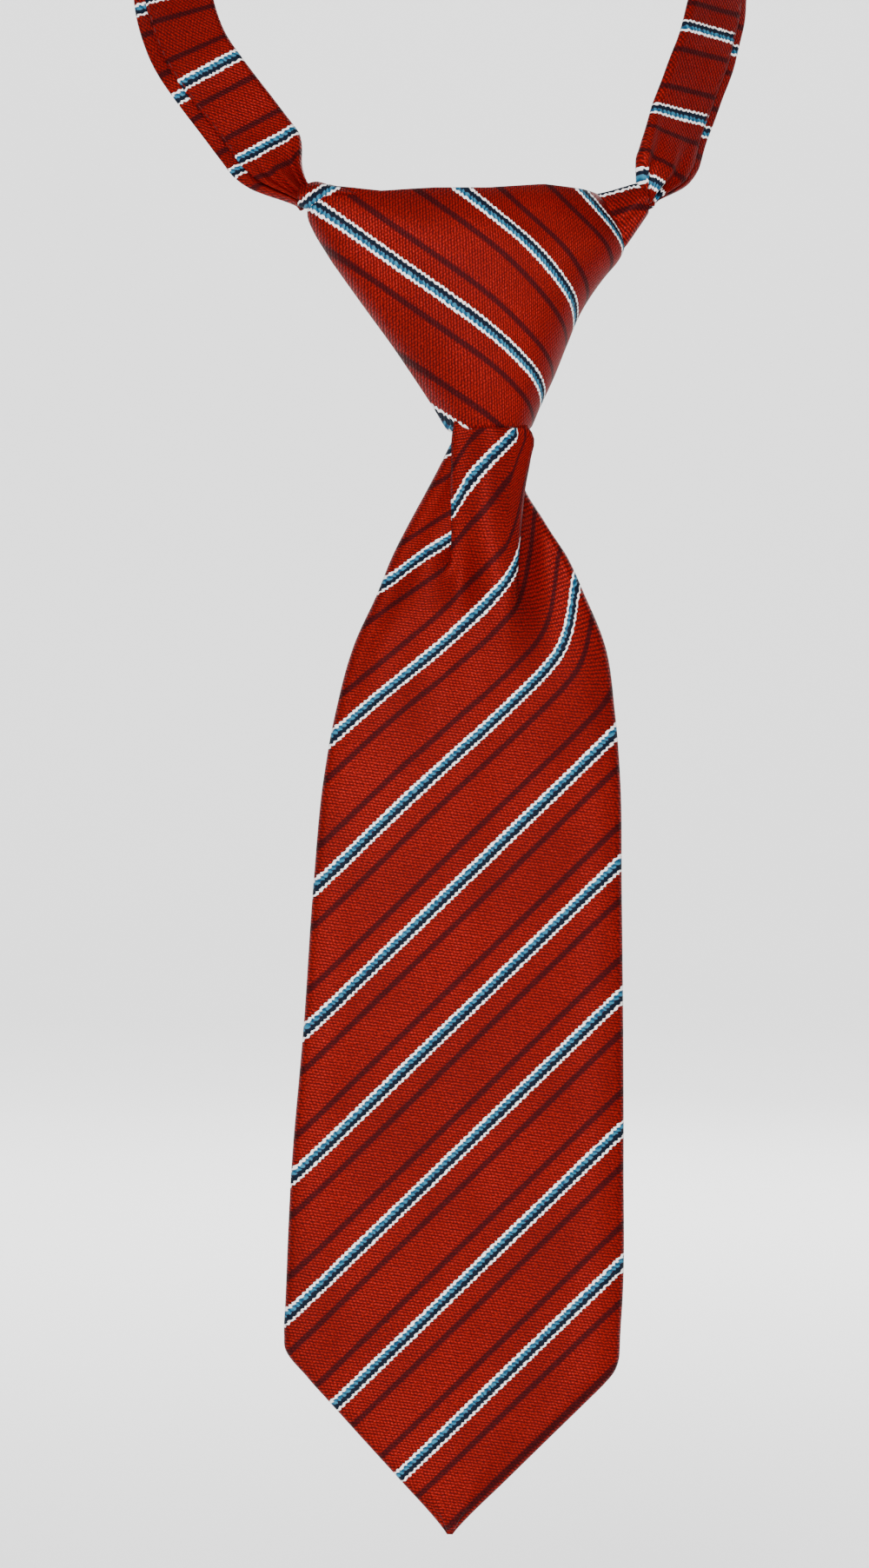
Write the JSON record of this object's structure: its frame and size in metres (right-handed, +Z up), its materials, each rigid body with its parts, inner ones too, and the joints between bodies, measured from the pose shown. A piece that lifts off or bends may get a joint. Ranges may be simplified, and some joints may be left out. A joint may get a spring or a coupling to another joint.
{
  "type": "ready-tied necktie",
  "caption": "Child's ready-tied striped necktie: pleated blade under a padded knot, on a neck band closed by a hook, an eye and a slider.",
  "frame": {"origin": "centre of the neck opening", "axes": "+Z up as it hangs, -Y out of the front of the knot and blade, +X to the viewer's right"},
  "size_m": [0.1189, 0.0614, 0.3865],
  "materials": {
    "striped_twill": "satin twill with corded stripes",
    "lining": "satin",
    "interlining": "matte felt",
    "thread": "matte",
    "webbing": "matte ribbed",
    "former": "matte",
    "nickel": "polished nickel plate",
    "label": "satin, blank"
  },
  "bodies": {
    "neck_loop": {"band_left": "striped_twill", "band_right": "striped_twill", "band_stiffener_left": "interlining", "band_stiffener_right": "interlining", "band_topstitch_left": "thread", "band_topstitch_right": "thread", "eye_tab": "webbing", "clasp_eye": "nickel", "adjuster_strap": "webbing"},
    "knot": {"knot_wrap": "striped_twill", "knot_former": "former", "knot_top_fold": "striped_twill", "knot_back_panel": "striped_twill", "knot_wing_left": "striped_twill", "knot_wing_right": "striped_twill", "knot_tack_stitch": "thread", "blade_head": "striped_twill"},
    "blade": {"blade_shell": "striped_twill", "blade_interlining": "interlining", "tip_lining": "lining", "back_seam_thread": "thread", "seam_bar_tack": "thread", "care_label": "label"},
    "slider": {"slider": "nickel", "strap_return": "webbing"},
    "hook": {"clasp_hook": "nickel"}
  },
  "joints": [
    {"name": "knot_tilt", "type": "hinge", "parent": "neck_loop", "child": "knot", "pos_m": [0.006, -0.02173, -0.05378], "axis": [-1, 0, 0], "range_deg": [-12, 30]},
    {"name": "blade_lift", "type": "hinge", "parent": "knot", "child": "blade", "pos_m": [0.01, -0.02433, -0.10618], "axis": [-1, 0, 0], "range_deg": [0, 75]},
    {"name": "slider_travel", "type": "hinge", "parent": "neck_loop", "child": "slider", "pos_m": [0, 0, 0], "axis": [0, -0.9272, 0.3746], "range_deg": [-8, 8], "deforming": ["strap_return"]},
    {"name": "hook_swing", "type": "hinge", "parent": "neck_loop", "child": "hook", "pos_m": [0.00732, 0.01951, 0.04829], "axis": [0, 0.9272, -0.3746], "range_deg": [0, 55]}
  ]
}
